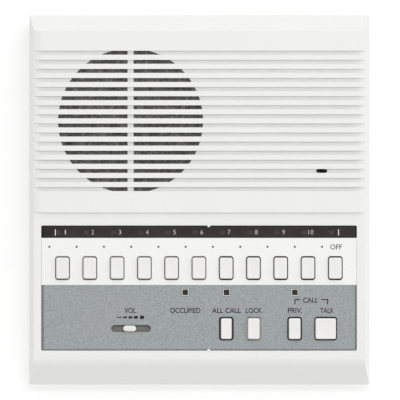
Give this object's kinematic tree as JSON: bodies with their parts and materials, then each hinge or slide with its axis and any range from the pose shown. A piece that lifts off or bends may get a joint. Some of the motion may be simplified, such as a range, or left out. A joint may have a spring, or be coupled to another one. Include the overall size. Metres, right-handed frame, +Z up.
{
  "type": "desk intercom station",
  "caption": "Wedge-shaped desk intercom master station with slotted loudspeaker grille, station push keys, function keys, status lamps and sliding volume control.",
  "frame": {"origin": "middle of the outline on the desk, under the feet", "axes": "+Z up, +Y along the length towards the loudspeaker end, +X to the right when facing the keys from the front"},
  "size_m": [0.225, 0.243, 0.0656],
  "materials": {
    "case_plastic": "fine moulded satin",
    "cover_plastic": "moulded satin",
    "foot_rubber": "matte",
    "screw_steel": "zinc plated",
    "smoked_window": "smoked, semi-gloss",
    "white_plate": "satin printed sheet",
    "silver_panel": "silver grey, fine speckle",
    "acoustic_cloth": "dark grey weave",
    "lamp_red": "diffused, unlit",
    "lamp_dark": "diffused, unlit",
    "bezel_plastic": "satin",
    "board_laminate": "solder mask",
    "frame_nylon": "matte",
    "bar_steel": "bright zinc",
    "spring_steel": "bright spring strip",
    "knob_plastic": "satin",
    "lever_plastic": "matte",
    "shutter_nylon": "matte",
    "pot_steel": "tinned",
    "pin_tin": "tinned",
    "basket_steel": "zinc plated",
    "ferrite": "matte ceramic",
    "cone_paper": "pulp paper",
    "cap_felt": "felt",
    "mic_can": "satin can",
    "sleeve_plastic": "shrink sleeve",
    "chip_epoxy": "matte epoxy",
    "sink_alu": "black anodised",
    "core_steel": "varnished laminations",
    "coil_tape": "yellow tape",
    "strip_phenolic": "matte",
    "plate_brass": "nickel over brass",
    "terminal_steel": "nickel plated",
    "key_plastic": "satin"
  },
  "bodies": {
    "base": {"front_case": "case_plastic", "rear_cover": "cover_plastic", "rubber_feet": "foot_rubber", "case_screws": "screw_steel", "call_window": "smoked_window", "name_plate": "white_plate", "control_panel": "silver_panel", "grille_cloth": "acoustic_cloth", "station_leds": "lamp_red", "status_leds": "lamp_dark", "led_bezels": "bezel_plastic", "lamp_board": "board_laminate", "switch_board": "board_laminate", "amplifier_board": "board_laminate", "switch_frame": "frame_nylon", "function_switches": "frame_nylon", "key_springs": "spring_steel", "volume_pot": "pot_steel", "pot_pins": "pin_tin", "speaker_basket": "basket_steel", "speaker_top_plate": "basket_steel", "speaker_yoke": "basket_steel", "speaker_magnet": "ferrite", "speaker_cone": "cone_paper", "dust_cap": "cap_felt", "speaker_clips": "basket_steel", "inner_screws": "screw_steel", "board_screws": "screw_steel", "mic_boot": "foot_rubber", "mic_capsule": "mic_can", "capacitors": "sleeve_plastic", "amplifier_chips": "chip_epoxy", "heat_sink": "sink_alu", "transformer_core": "core_steel", "transformer_coil": "coil_tape", "terminal_strip": "strip_phenolic", "terminal_plates": "plate_brass", "terminal_screws": "terminal_steel", "power_inlet": "strip_phenolic", "inlet_pin": "terminal_steel"},
    "key_1_body": {"key_1": "key_plastic"},
    "key_2_body": {"key_2": "key_plastic"},
    "key_3_body": {"key_3": "key_plastic"},
    "key_4_body": {"key_4": "key_plastic"},
    "key_5_body": {"key_5": "key_plastic"},
    "key_6_body": {"key_6": "key_plastic"},
    "key_7_body": {"key_7": "key_plastic"},
    "key_8_body": {"key_8": "key_plastic"},
    "key_9_body": {"key_9": "key_plastic"},
    "key_10_body": {"key_10": "key_plastic"},
    "off_key_body": {"off_key": "key_plastic"},
    "all_call_key_body": {"all_call_key": "key_plastic"},
    "lock_key_body": {"lock_key": "key_plastic"},
    "priv_key_body": {"priv_key": "key_plastic"},
    "talk_key_body": {"talk_key": "key_plastic"},
    "volume_slider": {"volume_knob": "knob_plastic", "volume_lever": "lever_plastic", "volume_shutter": "shutter_nylon"},
    "interlock": {"interlock_bar": "bar_steel"}
  },
  "joints": [
    {"name": "key_1_press", "type": "slide", "parent": "base", "child": "key_1_body", "axis": [0, 0.1045, -0.9945], "range_m": [0, 0.003], "stiffness_N_per_m": 300, "springref_m": -0.003, "deforming": ["key_springs"]},
    {"name": "key_2_press", "type": "slide", "parent": "base", "child": "key_2_body", "axis": [0, 0.1045, -0.9945], "range_m": [0, 0.003], "stiffness_N_per_m": 300, "springref_m": -0.003, "deforming": ["key_springs"]},
    {"name": "key_3_press", "type": "slide", "parent": "base", "child": "key_3_body", "axis": [0, 0.1045, -0.9945], "range_m": [0, 0.003], "stiffness_N_per_m": 300, "springref_m": -0.003, "deforming": ["key_springs"]},
    {"name": "key_4_press", "type": "slide", "parent": "base", "child": "key_4_body", "axis": [0, 0.1045, -0.9945], "range_m": [0, 0.003], "stiffness_N_per_m": 300, "springref_m": -0.003, "deforming": ["key_springs"]},
    {"name": "key_5_press", "type": "slide", "parent": "base", "child": "key_5_body", "axis": [0, 0.1045, -0.9945], "range_m": [0, 0.003], "stiffness_N_per_m": 300, "springref_m": -0.003, "deforming": ["key_springs"]},
    {"name": "key_6_press", "type": "slide", "parent": "base", "child": "key_6_body", "axis": [0, 0.1045, -0.9945], "range_m": [0, 0.003], "stiffness_N_per_m": 300, "springref_m": -0.003, "deforming": ["key_springs"]},
    {"name": "key_7_press", "type": "slide", "parent": "base", "child": "key_7_body", "axis": [0, 0.1045, -0.9945], "range_m": [0, 0.003], "stiffness_N_per_m": 300, "springref_m": -0.003, "deforming": ["key_springs"]},
    {"name": "key_8_press", "type": "slide", "parent": "base", "child": "key_8_body", "axis": [0, 0.1045, -0.9945], "range_m": [0, 0.003], "stiffness_N_per_m": 300, "springref_m": -0.003, "deforming": ["key_springs"]},
    {"name": "key_9_press", "type": "slide", "parent": "base", "child": "key_9_body", "axis": [0, 0.1045, -0.9945], "range_m": [0, 0.003], "stiffness_N_per_m": 300, "springref_m": -0.003, "deforming": ["key_springs"]},
    {"name": "key_10_press", "type": "slide", "parent": "base", "child": "key_10_body", "axis": [0, 0.1045, -0.9945], "range_m": [0, 0.003], "stiffness_N_per_m": 300, "springref_m": -0.003, "deforming": ["key_springs"]},
    {"name": "off_key_press", "type": "slide", "parent": "base", "child": "off_key_body", "axis": [0, 0.1045, -0.9945], "range_m": [0, 0.003], "stiffness_N_per_m": 300, "springref_m": -0.003, "deforming": ["key_springs"]},
    {"name": "all_call_key_press", "type": "slide", "parent": "base", "child": "all_call_key_body", "axis": [0, 0.1045, -0.9945], "range_m": [0, 0.0025], "stiffness_N_per_m": 300, "springref_m": -0.003, "deforming": ["key_springs"]},
    {"name": "lock_key_press", "type": "slide", "parent": "base", "child": "lock_key_body", "axis": [0, 0.1045, -0.9945], "range_m": [0, 0.003], "stiffness_N_per_m": 300, "springref_m": -0.003, "deforming": ["key_springs"]},
    {"name": "priv_key_press", "type": "slide", "parent": "base", "child": "priv_key_body", "axis": [0, 0.1045, -0.9945], "range_m": [0, 0.003], "stiffness_N_per_m": 300, "springref_m": -0.003, "deforming": ["key_springs"]},
    {"name": "talk_key_press", "type": "slide", "parent": "base", "child": "talk_key_body", "axis": [0, 0.1045, -0.9945], "range_m": [0, 0.003], "stiffness_N_per_m": 300, "springref_m": -0.003, "deforming": ["key_springs"]},
    {"name": "volume_slide", "type": "slide", "parent": "base", "child": "volume_slider", "axis": [1, 0, 0], "range_m": [-0.0077, 0.0093]},
    {"name": "interlock_shift", "type": "slide", "parent": "base", "child": "interlock", "axis": [1, 0, 0], "range_m": [0, 0.002], "stiffness_N_per_m": 200, "springref_m": -0.002}
  ]
}
